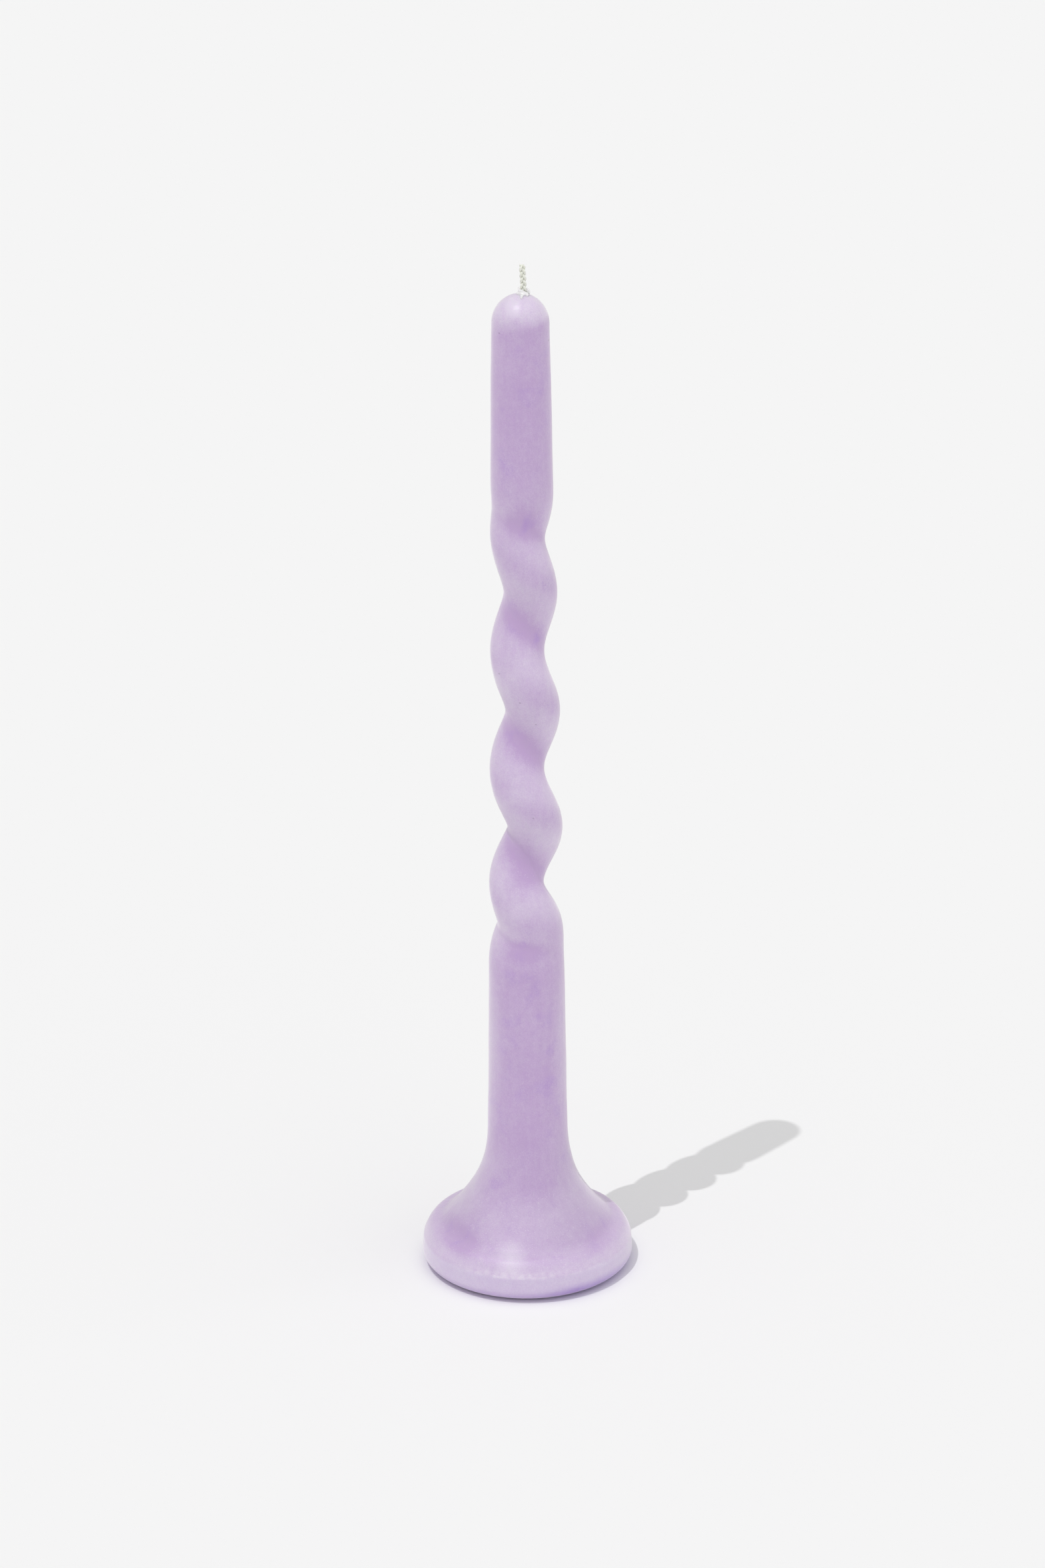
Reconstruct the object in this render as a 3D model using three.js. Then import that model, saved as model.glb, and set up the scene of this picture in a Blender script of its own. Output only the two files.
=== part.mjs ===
// Wound taper candle: one wax casting on a flared foot, its wick and the collar of clear wax at the wick.
// Millimetres, +Z up. The origin is on the table line under the axis, and the front faces -Y.

import * as THREE from 'three';

// Wax casting, whole
const bodyHeight = 283.8;
const crownHeight = 8;
const shoulderRadius = 7.8;

// Foot, from the table upwards: rounded lip, steep band to a crease, rounded hip, hollow flare into the stem
const contactRadius = 24.5;
const lipRadius = 29.75;
const lipHeight = 3.7;
const creaseRadius = 29.9;
const creaseHeight = 8.25;
const hipSlopeDegrees = 64.5;
const flareStartRadius = 23.1;
const flareStartHeight = 14.1;
const flareSlopeDegrees = 48;
const flareEndRadius = 11.3;
const flareEndHeight = 42.4;

// Fullness of the foot's curves, as shares of the distance that each one spans
const lipStartPull = 0.13;
const lipEndPull = 0.34;
const hipStartPull = 0.63;
const hipEndPull = 0.46;
const flareStartPull = 0.465;
const flareEndPull = 0.315;

// Levelled underside, drawn in round the wick where the wax shrank as it set
const underside = 0;
const sinkRadius = 5;
const sinkDepth = 1;

// Wound stretch of the stem: one left-hand strand round the axis
const twistStart = 89.7;
const twistEnd = 233.7;
const twistPitch = 34.1;
const twistStartAngleDegrees = 97;
const easeInLength = 30;
const easeOutLength = 22.6;
const offsetAtStart = 3.1;
const offsetAtEnd = 1.35;

// Share of the stem's radius that the winding takes off, outwards from the axis and across
const pinchOutwardAtStart = 0.285;
const pinchOutwardAtEnd = 0.17;
const pinchAcrossAtStart = 0.265;
const pinchAcrossAtEnd = 0.135;

// Wick
const wickRadius = 0.9;
const wickClearance = 0.3;
const wickTrim = 0.5;
const wickStub = 7.8;
const wickDrift = 0.7;
const stubLean = 0.35;
const mouthLand = 0.5;

// Collar of clear wax round the wick's foot
const collarRadius = 2.6;
const collarHeight = 1.5;
const collarRim = 0.35;
const collarClearance = 0.3;

// Fineness of the faces
const facesRound = 36;
const facesRoundCollar = 24;
const footRings = { lip: 5, band: 2, hip: 9, flare: 11 };
const ringsPerTurn = 18;
const crownRings = 9;
const collarRings = 4;
const wickSides = 8;
const wickSteps = 60;

// Places that follow from the sizes above
const shoulderHeight = bodyHeight - crownHeight;
const boreRadius = wickRadius + wickClearance;
const crownLandRadius = boreRadius + wickDrift + mouthLand;

const mix = THREE.MathUtils.lerp;

// Smooth step with no jump in slope or bend at either end.
function ease(share) {
  return THREE.MathUtils.smootherstep(share, 0, 1);
}

// Straight taper of the stem, from the end of the flare to the shoulder.
function stemRadius(height) {
  const share = (height - flareEndHeight) / (shoulderHeight - flareEndHeight);
  return mix(flareEndRadius, shoulderRadius, share);
}

// How much of the winding is present at a height: none at its two ends, all of it between.
function windingShare(height) {
  return ease((height - twistStart) / easeInLength) * ease((twistEnd - height) / easeOutLength);
}

// Direction from the axis to the strand. It turns clockwise going up, as a left-hand winding does.
function windingAngle(height) {
  const turns = (height - twistStart) / twistPitch;
  return THREE.MathUtils.degToRad(twistStartAngleDegrees) - turns * 2 * Math.PI;
}

// Share of the wound stretch that lies below a height.
function alongTwist(height) {
  return (height - twistStart) / (twistEnd - twistStart);
}

// Line through the middle of the wax, by height: straight in the stems, wound between them.
class WaxLine extends THREE.Curve {
  getPoint(share, target = new THREE.Vector3()) {
    const height = share * bodyHeight;
    const offset = mix(offsetAtStart, offsetAtEnd, alongTwist(height)) * windingShare(height);
    const angle = windingAngle(height);
    return target.set(offset * Math.cos(angle), offset * Math.sin(angle), height);
  }
}

const waxLine = new WaxLine();

// Oval section of the wax, square to its line. Its points keep their compass direction from ring to ring.
function waxRing(radius, height) {
  const centre = waxLine.getPoint(height / bodyHeight);
  const share = windingShare(height);
  const up = share > 0 ? waxLine.getTangent(height / bodyHeight) : new THREE.Vector3(0, 0, 1);
  const angle = windingAngle(height);
  const outward = new THREE.Vector3(Math.cos(angle), Math.sin(angle), 0);
  outward.addScaledVector(up, -outward.dot(up)).normalize();
  const across = new THREE.Vector3().crossVectors(up, outward);
  const along = alongTwist(height);
  const halfOutward = radius * (1 - mix(pinchOutwardAtStart, pinchOutwardAtEnd, along) * share);
  const halfAcross = radius * (1 - mix(pinchAcrossAtStart, pinchAcrossAtEnd, along) * share);
  const ring = [];
  for (let i = 0; i < facesRound; i += 1) {
    const turn = (i / facesRound) * 2 * Math.PI - angle;
    const point = centre.clone();
    point.addScaledVector(outward, halfOutward * Math.cos(turn));
    point.addScaledVector(across, halfAcross * Math.sin(turn));
    ring.push(point);
  }
  return ring;
}

// Level circle of points.
function levelRing(radius, height, sides, x = 0) {
  const ring = [];
  for (let i = 0; i < sides; i += 1) {
    const turn = (i / sides) * 2 * Math.PI;
    ring.push(new THREE.Vector3(x + radius * Math.cos(turn), radius * Math.sin(turn), height));
  }
  return ring;
}

// Closed skin over a loop of rings, the last joined to the first: the outer wall up, then the bore down.
function skinOverRings(rings) {
  const sides = rings[0].length;
  const positions = rings.flat().flatMap((point) => point.toArray());
  const faces = [];
  for (let i = 0; i < rings.length; i += 1) {
    const here = i * sides;
    const next = ((i + 1) % rings.length) * sides;
    for (let j = 0; j < sides; j += 1) {
      const k = (j + 1) % sides;
      faces.push(here + j, here + k, next + k);
      faces.push(here + j, next + k, next + j);
    }
  }
  const geometry = new THREE.BufferGeometry();
  geometry.setAttribute('position', new THREE.Float32BufferAttribute(positions, 3));
  geometry.setIndex(faces);
  geometry.computeVertexNormals();
  return geometry;
}

// Slope of a line in the outline, as radius and height, that leans in towards the axis going up.
function leaningIn(degrees) {
  const slope = THREE.MathUtils.degToRad(degrees);
  return new THREE.Vector2(-Math.cos(slope), Math.sin(slope));
}

// Outline of the foot as radius and height: lip, band, hip and the flare into the stem.
function footOutline() {
  const taper = (shoulderRadius - flareEndRadius) / (shoulderHeight - flareEndHeight);
  const contact = new THREE.Vector2(contactRadius, underside);
  const lip = new THREE.Vector2(lipRadius, lipHeight);
  const crease = new THREE.Vector2(creaseRadius, creaseHeight);
  const join = new THREE.Vector2(flareStartRadius, flareStartHeight);
  const stem = new THREE.Vector2(flareEndRadius, flareEndHeight);
  const alongTable = new THREE.Vector2(1, 0);
  const alongBand = crease.clone().sub(lip).normalize();
  const overCrease = leaningIn(hipSlopeDegrees);
  const throughJoin = leaningIn(flareSlopeDegrees);
  const intoStem = new THREE.Vector2(taper, 1);

  const path = new THREE.Path();
  const bend = (from, leaving, startPull, to, arriving, endPull) => {
    const reach = from.distanceTo(to);
    const first = from.clone().addScaledVector(leaving, startPull * reach);
    const last = to.clone().addScaledVector(arriving, -endPull * reach);
    path.bezierCurveTo(first.x, first.y, last.x, last.y, to.x, to.y);
  };
  path.moveTo(contact.x, contact.y);
  bend(contact, alongTable, lipStartPull, lip, alongBand, lipEndPull);
  path.lineTo(crease.x, crease.y);
  bend(crease, overCrease, hipStartPull, join, throughJoin, hipEndPull);
  bend(join, throughJoin, flareStartPull, stem, intoStem, flareEndPull);
  const rings = Object.values(footRings);
  return path.curves.flatMap((curve, i) => curve.getPoints(rings[i]).slice(i === 0 ? 0 : 1));
}

// Heights of the rings on the wound stretch, evenly spaced.
function twistHeights() {
  const count = Math.ceil(((twistEnd - twistStart) / twistPitch) * ringsPerTurn);
  return Array.from({ length: count + 1 }, (_, i) => mix(twistStart, twistEnd, i / count));
}

// Height of the crown's surface over a point of the plan.
function crownSurface(x, y) {
  const share = Math.min(1, Math.hypot(x, y) / shoulderRadius);
  return shoulderHeight + crownHeight * Math.sqrt(1 - share * share);
}

// Outline of the crown from the shoulder to the land round the bore's mouth, as radius and height.
function crownOutline() {
  const last = Math.acos(crownLandRadius / shoulderRadius);
  const outline = [];
  for (let i = 0; i <= crownRings; i += 1) {
    const turn = (i / crownRings) * last;
    const radius = shoulderRadius * Math.cos(turn);
    outline.push(new THREE.Vector2(radius, crownSurface(radius, 0)));
  }
  return outline;
}

// The casting: foot, lower stem, wound stretch, upper stem and crown, with the bore that the wick fills.
function waxBody() {
  const outline = [
    ...footOutline(),
    ...twistHeights().map((height) => new THREE.Vector2(stemRadius(height), height)),
    ...crownOutline(),
  ];
  const mouth = levelRing(boreRadius, bodyHeight, facesRound, wickDrift);
  mouth.forEach((point) => point.setZ(crownSurface(point.x, point.y)));
  return skinOverRings([
    levelRing(boreRadius, underside + sinkDepth, facesRound),
    levelRing(sinkRadius, underside, facesRound),
    ...outline.map((point) => waxRing(point.x, point.y)),
    mouth,
  ]);
}

// The wick's route: straight through the casting, drifted a little at the crown, with a leaning stub.
function wickRoute() {
  const route = new THREE.CurvePath();
  const trimmed = new THREE.Vector3(0, 0, underside + wickTrim);
  const leaving = new THREE.Vector3(wickDrift, 0, bodyHeight);
  const tip = new THREE.Vector3(wickDrift - stubLean, 0, bodyHeight + wickStub);
  const bend = leaving.clone().add(new THREE.Vector3(0, 0, wickStub / 2));
  route.add(new THREE.LineCurve3(trimmed, leaving));
  route.add(new THREE.QuadraticBezierCurve3(leaving, bend, tip));
  return route;
}

// Round cord along the wick's route, of one thickness.
function wick() {
  const section = new THREE.Shape();
  section.absarc(0, 0, wickRadius, 0, 2 * Math.PI, false);
  return new THREE.ExtrudeGeometry(section, {
    steps: wickSteps,
    curveSegments: wickSides / 2,
    extrudePath: wickRoute(),
    bevelEnabled: false,
  });
}

// Ring of clear wax that lies on the crown and climbs a little way up the wick.
function waxCollar() {
  const ringAt = (share, raised) => {
    const radius = mix(boreRadius, collarRadius, share);
    const thickness = mix(collarHeight, collarRim, ease(share));
    const ring = levelRing(radius, 0, facesRoundCollar, wickDrift);
    const lift = collarClearance + (raised ? thickness : 0);
    ring.forEach((point) => point.setZ(crownSurface(point.x, point.y) + lift));
    return ring;
  };
  const lower = [];
  const upper = [];
  for (let i = 0; i <= collarRings; i += 1) {
    lower.push(ringAt(i / collarRings, false));
    upper.push(ringAt(1 - i / collarRings, true));
  }
  return skinOverRings([...lower, ...upper]);
}

function part(name, geometry, look) {
  const mesh = new THREE.Mesh(geometry, new THREE.MeshStandardMaterial(look));
  mesh.name = name;
  return mesh;
}

const candle = new THREE.Group();
candle.name = 'twist_candle';
candle.add(part('wax_body', waxBody(), { color: '#c8b7d5', roughness: 0.5, metalness: 0 }));
candle.add(part('wick', wick(), { color: '#d6d7cc', roughness: 0.85, metalness: 0 }));
candle.add(part('wax_collar', waxCollar(), { color: '#e9e7ea', roughness: 0.35, metalness: 0 }));

export default candle;
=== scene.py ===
"""Twist candle in lavender wax, standing by itself on a pale studio floor.

The CAD frame holds the sizes. This script models the casting, the plaited wick and the clear wax
at its foot on that frame, dresses them, and sets up the floor, the light and the camera.
"""

import logging
import math
from dataclasses import dataclass
from enum import Enum
from typing import Any, Sequence, Union

import bpy
from bpy.types import Material, Node, NodeSocket, Object, World
from mathutils import Matrix, Vector, geometry


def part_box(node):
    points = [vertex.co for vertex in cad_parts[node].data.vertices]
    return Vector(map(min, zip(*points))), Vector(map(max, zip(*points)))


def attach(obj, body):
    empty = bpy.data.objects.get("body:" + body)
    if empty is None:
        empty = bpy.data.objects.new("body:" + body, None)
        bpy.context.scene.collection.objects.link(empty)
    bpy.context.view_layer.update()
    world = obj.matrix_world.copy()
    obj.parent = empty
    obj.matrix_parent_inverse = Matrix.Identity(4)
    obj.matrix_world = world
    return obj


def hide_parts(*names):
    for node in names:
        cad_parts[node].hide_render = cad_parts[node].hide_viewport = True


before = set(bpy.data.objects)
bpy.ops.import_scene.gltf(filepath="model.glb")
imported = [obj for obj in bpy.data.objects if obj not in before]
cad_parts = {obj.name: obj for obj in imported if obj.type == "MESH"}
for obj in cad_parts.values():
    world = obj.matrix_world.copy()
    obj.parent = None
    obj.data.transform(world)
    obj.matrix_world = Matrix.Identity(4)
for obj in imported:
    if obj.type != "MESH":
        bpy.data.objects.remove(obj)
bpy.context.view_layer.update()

log = logging.getLogger("twist_candle")

MM = 0.001
WELD = 0.002 * MM
FOOT_MARGIN = 0.15
BODY = "root"

Input = Union["Value", float]
Colour = tuple[float, float, float, float]
Lump = tuple[float, float, float, float]
Triple = tuple[float, float, float]
Span = tuple[float, float]
Window = tuple[Span, Span]


class Slot(Enum):
    """Material slots of the record that the pieces take their finish from."""

    LAVENDER_WAX = "lavender_wax"
    WICK_COTTON = "wick_cotton"
    CLEAR_WAX = "clear_wax"


def smoother(share: float) -> float:
    """Returns a step from 0 to 1 with no jump in slope or bend at either end."""
    share = min(1.0, max(0.0, share))
    return share * share * share * (share * (6.0 * share - 15.0) + 10.0)


def mix(start: float, end: float, share: float) -> float:
    """Returns the value a share of the way from start to end."""
    return start + (end - start) * share


def spread(start: float, end: float, count: int) -> list[float]:
    """Returns the values from start to end, both included, in a count of even steps."""
    return [mix(start, end, i / count) for i in range(count + 1)]


@dataclass(frozen=True)
class Value:
    """A number, colour or vector inside a shader, on which sums are written as Python expressions."""

    shader: "Shader"
    socket: NodeSocket

    def maths(self, operation: str, *values: Input) -> "Value":
        """Returns the outcome of a Math node on these values."""
        return self.shader.out("ShaderNodeMath", {"operation": operation}, dict(enumerate(values)))

    def __add__(self, other: Input) -> "Value":
        """Returns self + other."""
        return self.maths("ADD", self, other)

    __radd__ = __add__

    def __sub__(self, other: Input) -> "Value":
        """Returns self - other."""
        return self.maths("SUBTRACT", self, other)

    def __rsub__(self, other: float) -> "Value":
        """Returns other - self."""
        return self.maths("SUBTRACT", other, self)

    def __mul__(self, other: Input) -> "Value":
        """Returns self * other."""
        return self.maths("MULTIPLY", self, other)

    __rmul__ = __mul__

    def __truediv__(self, other: Input) -> "Value":
        """Returns self / other."""
        return self.maths("DIVIDE", self, other)

    def clipped(self) -> "Value":
        """Returns the value held between 0 and 1."""
        return self.maths("MINIMUM", self.maths("MAXIMUM", self, 0.0), 1.0)

    def ramp(self, low: float, high: float, to_low: float = 0.0, to_high: float = 1.0) -> "Value":
        """Returns a soft step from to_low to to_high, which this value goes through from low to high."""
        sockets = {"Value": self, "From Min": low, "From Max": high, "To Min": to_low, "To Max": to_high}
        return self.shader.out("ShaderNodeMapRange", {"interpolation_type": "SMOOTHSTEP"}, sockets)

    def window(self, steps: Window) -> "Value":
        """Returns a field that is 1 between a soft step up and a soft step down, and 0 outside them."""
        return self.ramp(*steps[0]) * self.ramp(*steps[1])


class Shader:
    """A material's or the sky's node tree, with one method through which every node is made."""

    def __init__(self, holder: Union[Material, World]) -> None:
        """Starts an empty node tree.

        Args:
            holder: The new material or sky that the nodes are for.
        """
        self.holder = holder
        self.holder.use_nodes = True
        self.tree = self.holder.node_tree
        self.tree.nodes.clear()

    def node(self, kind: str, settings: dict[str, Any], sockets: dict[Any, Any]) -> Node:
        """Makes a node, sets its settings, then fills or links its inputs.

        Args:
            kind: The node's type.
            settings: Its settings, which are set before the inputs.
            sockets: Inputs by name or place, each a number, a colour or a Value.

        Returns:
            The node.
        """
        made = self.tree.nodes.new(kind)
        for name, setting in settings.items():
            setattr(made, name, setting)
        for key, value in sockets.items():
            if isinstance(value, Value):
                self.tree.links.new(value.socket, made.inputs[key])
            else:
                made.inputs[key].default_value = value
        return made

    def out(self, kind: str, settings: dict[str, Any], sockets: dict[Any, Any], name: Any = 0) -> Value:
        """Makes a node as node() does, and returns its output of the given name or place."""
        return Value(self, self.node(kind, settings, sockets).outputs[name])

    def millimetres(self) -> Value:
        """Returns the piece's own coordinates in millimetres."""
        place = self.out("ShaderNodeTexCoord", {}, {}, "Object")
        return self.out("ShaderNodeMapping", {}, {"Vector": place, "Scale": (1.0 / MM, 1.0 / MM, 1.0 / MM)})

    def facing(self) -> Value:
        """Returns the direction in which the surface faces."""
        return self.out("ShaderNodeTexCoord", {}, {}, "Normal")

    def parts(self, vector: Value) -> tuple[Value, Value, Value]:
        """Returns a vector's three numbers."""
        made = self.node("ShaderNodeSeparateXYZ", {}, {"Vector": vector})
        return tuple(Value(self, made.outputs[i]) for i in range(3))

    def moved(self, place: Value, by: Triple, scale: Triple = (1.0, 1.0, 1.0)) -> Value:
        """Returns coordinates that are moved by one vector and then stretched by another."""
        shifted = self.out("ShaderNodeVectorMath", {"operation": "ADD"}, {0: place, 1: by})
        return self.out("ShaderNodeVectorMath", {"operation": "MULTIPLY"}, {0: shifted, 1: scale})

    def length(self, vector: Value) -> Value:
        """Returns a vector's length."""
        return self.out("ShaderNodeVectorMath", {"operation": "LENGTH"}, {0: vector}, "Value")

    def blend(self, share: Input, first: Any, second: Any) -> Value:
        """Returns a mix of two colours, with the given share of the second one."""
        # The Mix node has its sockets for colours at places 6 and 7, and their outcome at place 2.
        return self.out("ShaderNodeMix", {"data_type": "RGBA"}, {0: share, 6: first, 7: second}, 2)

    def bump(self, height: Value, depth: float, below: Union[Value, None] = None) -> Value:
        """Returns a normal raised by a height field.

        Args:
            height: The field.
            depth: What a height of 1 stands for, in metres.
            below: A normal that is already raised.

        Returns:
            The normal.
        """
        sockets = {"Strength": 1.0, "Distance": depth, "Height": height}
        if below is not None:
            sockets["Normal"] = below
        return self.out("ShaderNodeBump", {}, sockets)

    def finish(self, sockets: dict[str, Any]) -> Material:
        """Ends the material in one shader.

        Args:
            sockets: The shader's inputs.

        Returns:
            The material.
        """
        surface = self.out("ShaderNodeBsdfPrincipled", {}, sockets)
        self.node("ShaderNodeOutputMaterial", {}, {"Surface": surface})
        return self.holder


@dataclass(frozen=True)
class Noise:
    """A soft random field round 0, mostly between -0.2 and 0.2.

    Its size is in millimetres, its shift sets it apart from other fields, its stretch draws it out, and
    rough is how strong its finer layers are.
    """

    size: float
    shift: Triple = (0.0, 0.0, 0.0)
    stretch: Triple = (1.0, 1.0, 1.0)
    layers: float = 2.0
    rough: float = 0.5

    def on(self, place: Value) -> Value:
        """Lays the field on a surface.

        Args:
            place: Coordinates in millimetres.

        Returns:
            The field.
        """
        shader = place.shader
        moved = shader.moved(place, self.shift, self.stretch)
        sockets = {"Vector": moved, "Scale": 1.0 / self.size, "Detail": self.layers, "Roughness": self.rough}
        return shader.out("ShaderNodeTexNoise", {}, sockets, "Fac") - 0.5


@dataclass(frozen=True)
class Specks:
    """Small round specks, one in a share of the cells that the surface is parted into, in millimetres."""

    spacing: float
    radius: float
    share: float
    shift: Triple = (0.0, 0.0, 0.0)
    edge: float = 0.02

    def on(self, place: Value) -> Value:
        """Strews the specks over a surface.

        Args:
            place: Coordinates in millimetres.

        Returns:
            A field that is 1 in the middle of each speck and 0 between them.
        """
        shader = place.shader
        sockets = {"Vector": shader.moved(place, self.shift), "Scale": 1.0 / self.spacing}
        cells = shader.node("ShaderNodeTexVoronoi", {"feature": "F1"}, sockets)
        near = Value(shader, cells.outputs["Distance"]).ramp(0.0, self.radius / self.spacing, 1.0, 0.0)
        pick = shader.parts(Value(shader, cells.outputs["Color"]))[0]
        return near * pick.ramp(1.0 - self.share, 1.0 - self.share + self.edge)


@dataclass(frozen=True)
class Patch:
    """A soft round patch as seen from the front, in millimetres, and how much paler its middle is."""

    x: float
    height: float
    across: float
    tall: float
    bloom_and_painted_light: float = 0.0

    def on(self, place: Value) -> Value:
        """Lays the patch on a surface.

        Args:
            place: Coordinates in millimetres.

        Returns:
            A field that is 1 in the patch's middle and 0 at its rim.
        """
        shader = place.shader
        local = shader.moved(place, (-self.x, 0.0, -self.height), (1.0 / self.across, 0.0, 1.0 / self.tall))
        return shader.length(local).ramp(0.0, 1.0, 1.0, 0.0)


@dataclass(frozen=True)
class BloomAndPaintedLightWeights:
    """How far each zone and each random field of the casting moves the wax from deep to pale."""

    base: float = 0.1
    # lit and under are painted light: paler where the surface faces up towards the lamps, and where it faces
    # down as if lit by the floor.
    lit: float = 0.58
    lit_less_on_cap: float = 0.2
    lit_less_on_twist: float = 0.14
    under: float = 0.38
    cap: float = 0.3
    ridge: float = 0.2
    # The valleys are deeper partly from less bloom and partly as painted shade.
    valley: float = -0.4
    foot: float = -0.42
    over_crease: float = 0.36
    band: float = 0.94
    clouds: float = 0.35
    mottle: float = 0.45
    streaks: float = 0.24
    grain: float = 0.8


@dataclass(frozen=True)
class LavenderWax:
    """Pale lavender candle wax: satin, a little translucent, with a fine pale bloom and tiny specks.

    A span is where a soft step starts and ends, and a window is a step up and a step down. Those of a
    zone are heights in millimetres, apart from lit and under, which say how far the surface faces up,
    and ridge and valley, which say how far it lies inside the stem.

    Besides the wax's own tones, the colour holds painted light: paler where the surface faces up or
    down, deeper in the valleys of the twist, painted shade on the foot's slope and flare and along the
    lip, a painted highlight along the crease, and painted highlights and sheen among the patches.
    """

    deep: Colour = (0.555, 0.395, 0.655, 1.0)
    pale: Colour = (0.74, 0.655, 0.80, 1.0)
    violet: Colour = (0.46, 0.29, 0.66, 1.0)
    # This deep violet paints the shade on the lip's right side.
    grape: Colour = (0.29, 0.15, 0.56, 1.0)
    lilac: Colour = (0.70, 0.63, 0.87, 1.0)
    dusk: Colour = (0.20, 0.16, 0.25, 1.0)
    # This pale colour serves the white specks and the painted highlight along the crease.
    frost_and_highlight: Colour = (0.88, 0.83, 0.91, 1.0)
    dirt: Colour = (0.26, 0.17, 0.32, 1.0)
    clouds: Noise = Noise(15.0)
    mottle: Noise = Noise(1.7, (11.0, 5.0, 3.0), layers=3.0, rough=0.6)
    streaks: Noise = Noise(1.5, (31.0, 7.0, 0.0), (1.0, 1.0, 0.12))
    grain: Noise = Noise(0.35, rough=0.6)
    wander: Noise = Noise(5.0, (0.0, 40.0, 9.0))
    # Random violet clouds, laid only where the wax is still deep, so in the valleys they add to the painted
    # shade.
    violet_clouds: Noise = Noise(6.0, (3.0, 9.0, 17.0))
    specks: Specks = Specks(0.62, 0.16, 0.4)
    dust: Specks = Specks(2.6, 0.14, 0.25, (5.3, 2.1, 8.7))
    lit: Span = (-0.02, 0.5)
    under: Span = (0.0, -0.35)
    cap: Span = (274.5, 277.7)
    cap_tilt: float = 0.2
    cap_wander: float = 2.0
    twist: Window = ((92.0, 104.0), (236.0, 224.0))
    stem_at_table: float = 11.94
    stem_taper: float = 0.015
    ridge: Span = (0.28, 0.02)
    valley: Span = (0.2, 0.5)
    foot: Span = (34.0, 10.2)
    foot_wander: float = 12.0
    over_crease: Span = (14.25, 8.75)
    band: Span = (8.85, 7.45)
    band_tint: float = 0.2
    # Painted highlight: a pale, patchy line along the front of the crease.
    crease_highlight: Window = ((7.45, 8.25), (10.25, 8.25))
    crease_highlight_across: Window = ((-22.0, -8.0), (22.0, 0.0))
    crease_highlight_tint: float = 0.34
    crease_highlight_mottle: float = 1.5
    shade: Window = ((8.25, 16.25), (46.0, 26.0))
    shade_left: Span = (-9.0, -20.0)
    shade_right: Span = (-4.0, 16.0)
    shade_tint: float = 0.09
    side_tint: float = 0.1
    lip_radius: Span = (23.5, 26.5)
    # Painted shade: violet where the lip turns under towards the table.
    low_lip_shade: Span = (4.0, 1.5)
    low_lip_tint: float = 0.7
    # Painted shade: deeper violet low on the lip's right, the side away from the key light.
    right_lip_shade: Span = (5.6, 1.7)
    right_lip_across: Span = (-3.0, 16.0)
    right_lip_tint: float = 0.75
    violet_cloud_edge: Span = (0.0, 0.24)
    violet_below: float = 0.3
    specks_in_shade: float = 0.15
    specks_less_on_cap: float = 0.7
    speck_tint: float = 0.6
    dust_tint: float = 0.25
    pit_tint: float = 0.6
    cloud_depth: float = 0.2 * MM
    mottle_depth: float = 0.06 * MM
    streak_relief: float = 0.5
    grain_depth: float = 0.03 * MM
    speck_relief: float = 0.4
    dust_relief: float = 0.6
    weights: BloomAndPaintedLightWeights = BloomAndPaintedLightWeights()
    patches: tuple[Patch, ...] = (
        # Painted highlight on the front of the foot's hip.
        Patch(-4.8, 12.2, 6.0, 5.4, 0.6),
        Patch(-19.4, 13.6, 8.2, 4.0, -0.68),
        Patch(-10.5, 26.5, 7.0, 6.5, -0.3),
        Patch(19.9, 12.9, 7.0, 3.4, -0.3),
        Patch(0.5, 28.5, 17.0, 10.0, -0.4),
        Patch(-0.8, 98.6, 8.5, 5.0, -0.6),
        Patch(-3.0, 110.3, 7.5, 4.5, 0.35),
        Patch(-1.2, 118.8, 6.5, 6.5, -0.3),
        Patch(-3.0, 144.0, 7.0, 5.0, 0.25),
        Patch(-4.5, 178.0, 7.0, 6.0, 0.3),
        Patch(0.3, 222.5, 8.0, 8.0, -0.6),
        # Painted sheen down both sides of the lower stem, in two patches.
        Patch(-10.4, 68.0, 4.6, 30.0, 0.34),
        Patch(10.4, 68.0, 4.2, 30.0, 0.3),
        # Painted highlight on the crown.
        Patch(-2.1, 281.3, 2.8, 3.2, 0.6),
    )
    pits: tuple[Patch, ...] = (
        Patch(-6.7, 179.6, 0.34, 0.34),
        Patch(-1.1, 172.0, 0.34, 0.34),
        Patch(3.2, 165.2, 0.34, 0.34),
        Patch(2.3, 138.8, 0.34, 0.34),
        Patch(-5.8, 274.5, 0.34, 0.34),
        Patch(7.3, 271.7, 0.34, 0.34),
    )

    def build(self) -> Material:
        """Makes the finish.

        Returns:
            The material.
        """
        shader = Shader(bpy.data.materials.new("lavender_wax"))
        zones = WaxZones(shader, self)
        bloom_and_painted_light = self.bloom_and_painted_light(zones)
        return shader.finish(
            {
                "Base Color": self.tinted(zones, bloom_and_painted_light),
                "Roughness": 0.46 + zones.grain * 0.3 + zones.mottle * 0.2 - zones.cap * 0.12,
                "IOR": 1.44,
                "Normal": self.relief(zones),
                "Subsurface Weight": 0.35,
                "Subsurface Radius": (0.9, 0.55, 1.0),
                "Subsurface Scale": 0.0025,
                "Sheen Weight": 0.7,
                "Sheen Roughness": 0.45,
                "Sheen Tint": (1.0, 1.0, 0.97, 1.0),
            }
        )

    def bloom_and_painted_light(self, zones: "WaxZones") -> Value:
        """Works out how pale the wax is.

        Args:
            zones: The casting's zones and random fields.

        Returns:
            A field that is about 0 on the deepest wax and about 1 on the palest, painted light and shade
            included.
        """
        weights = self.weights
        off_band, off_foot = 1.0 - zones.band, 1.0 - zones.foot
        # Painted light: paler on surfaces that face up, and on those that face down as if lit by the floor.
        bloom_and_painted_light = zones.lit * (weights.lit - zones.cap * weights.lit_less_on_cap)
        bloom_and_painted_light = bloom_and_painted_light + zones.cap * weights.cap + zones.under * weights.under * off_band
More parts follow.
